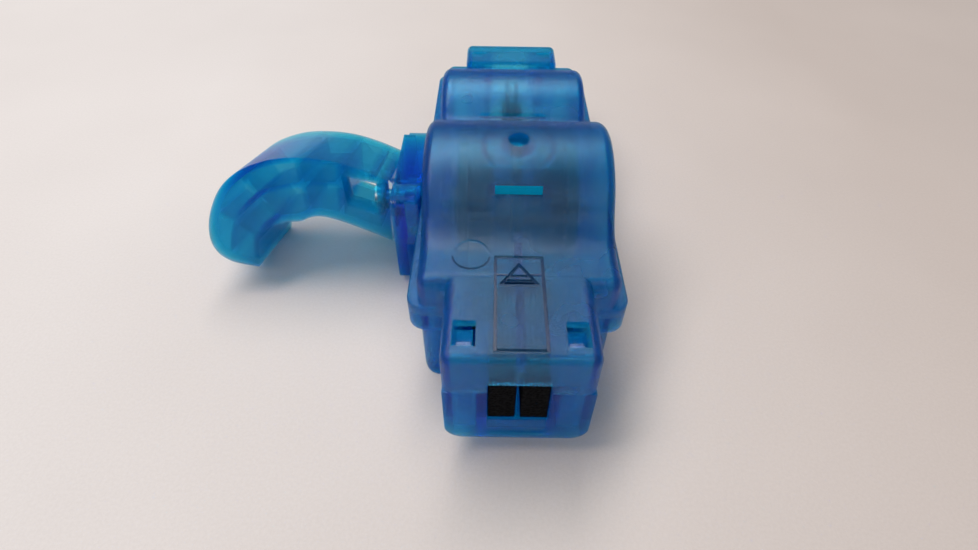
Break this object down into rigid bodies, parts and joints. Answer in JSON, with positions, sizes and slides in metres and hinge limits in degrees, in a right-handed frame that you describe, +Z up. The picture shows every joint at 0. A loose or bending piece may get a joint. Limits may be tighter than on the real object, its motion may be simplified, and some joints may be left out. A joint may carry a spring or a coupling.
{
  "type": "bicycle chain cleaner",
  "caption": "Handheld chain scrubber: translucent blue case and humped cover over brush wheels and rollers, a chain port at each end, and an arched handle on a side swivel.",
  "frame": {"origin": "centre of the case's flat base, on the surface that it stands on", "axes": "+Z up out of the base, +Y along the chain from the sponge end to the far end, +X to the right, away from the handle"},
  "size_m": [0.1028, 0.135, 0.047],
  "materials": {
    "blue_case": "translucent blue, satin",
    "blue_cover": "translucent blue, fine satin grain on top",
    "blue_handle": "translucent teal blue, glossy",
    "black_foam": "open-cell foam, matte",
    "black_bristle": "nylon bristle",
    "black_hub": "moulded, matte",
    "black_sprocket": "moulded acetal, satin",
    "white_bush": "moulded acetal, satin",
    "steel_rod": "ground",
    "steel_screw": "zinc plated",
    "spring_steel": "drawn wire"
  },
  "bodies": {
    "case": {"lower_case": "blue_case", "sponge_left": "black_foam", "sponge_right": "black_foam", "main_axle": "steel_rod", "main_bushes": "white_bush", "guide_axle": "steel_rod", "guide_spacers": "white_bush", "front_roller_axle": "steel_rod", "rear_roller_axle": "steel_rod", "handle_bracket": "blue_case", "bracket_screws": "steel_screw", "pivot_bolt": "steel_screw", "pivot_washer": "steel_screw", "pivot_nut": "steel_screw", "lock_spring": "spring_steel"},
    "cover": {"upper_cover": "blue_cover"},
    "main_brush_wheel": {"drive_sprocket": "black_sprocket", "left_brush_hub": "black_hub", "left_brush_bristles": "black_bristle", "right_brush_hub": "black_hub", "right_brush_bristles": "black_bristle"},
    "guide_wheel": {"guide_wheel_hub": "black_hub", "guide_wheel_bristles": "black_bristle"},
    "front_roller": {"front_roller_core": "black_hub", "front_roller_bristles": "black_bristle"},
    "rear_roller": {"rear_roller_core": "black_hub", "rear_roller_bristles": "black_bristle"},
    "handle": {"handle_grip": "blue_handle"},
    "lock_button": {"lock_button": "blue_case"}
  },
  "joints": [
    {"name": "cover_slide", "type": "slide", "parent": "case", "child": "cover", "axis": [0, 1, 0], "range_m": [0, 0.002]},
    {"name": "main_brush_spin", "type": "hinge", "parent": "case", "child": "main_brush_wheel", "pos_m": [0, -0.015, 0.026], "axis": [1, 0, 0], "continuous": true},
    {"name": "guide_wheel_spin", "type": "hinge", "parent": "case", "child": "guide_wheel", "pos_m": [0, 0.035, 0.0215], "axis": [1, 0, 0], "continuous": true},
    {"name": "front_roller_spin", "type": "hinge", "parent": "case", "child": "front_roller", "pos_m": [0, -0.036, 0.0095], "axis": [1, 0, 0], "continuous": true},
    {"name": "rear_roller_spin", "type": "hinge", "parent": "case", "child": "rear_roller", "pos_m": [0, 0.008, 0.0095], "axis": [1, 0, 0], "continuous": true},
    {"name": "handle_swivel", "type": "hinge", "parent": "case", "child": "handle", "pos_m": [-0.0314, -0.0037, 0.01982], "axis": [1, 0, 0], "range_deg": [-70, 110]},
    {"name": "lock_button_press", "type": "slide", "parent": "case", "child": "lock_button", "axis": [0, 0, -1], "range_m": [0, 0.0009], "stiffness_N_per_m": 300, "springref_m": -0.001, "deforming": ["lock_spring"]}
  ]
}
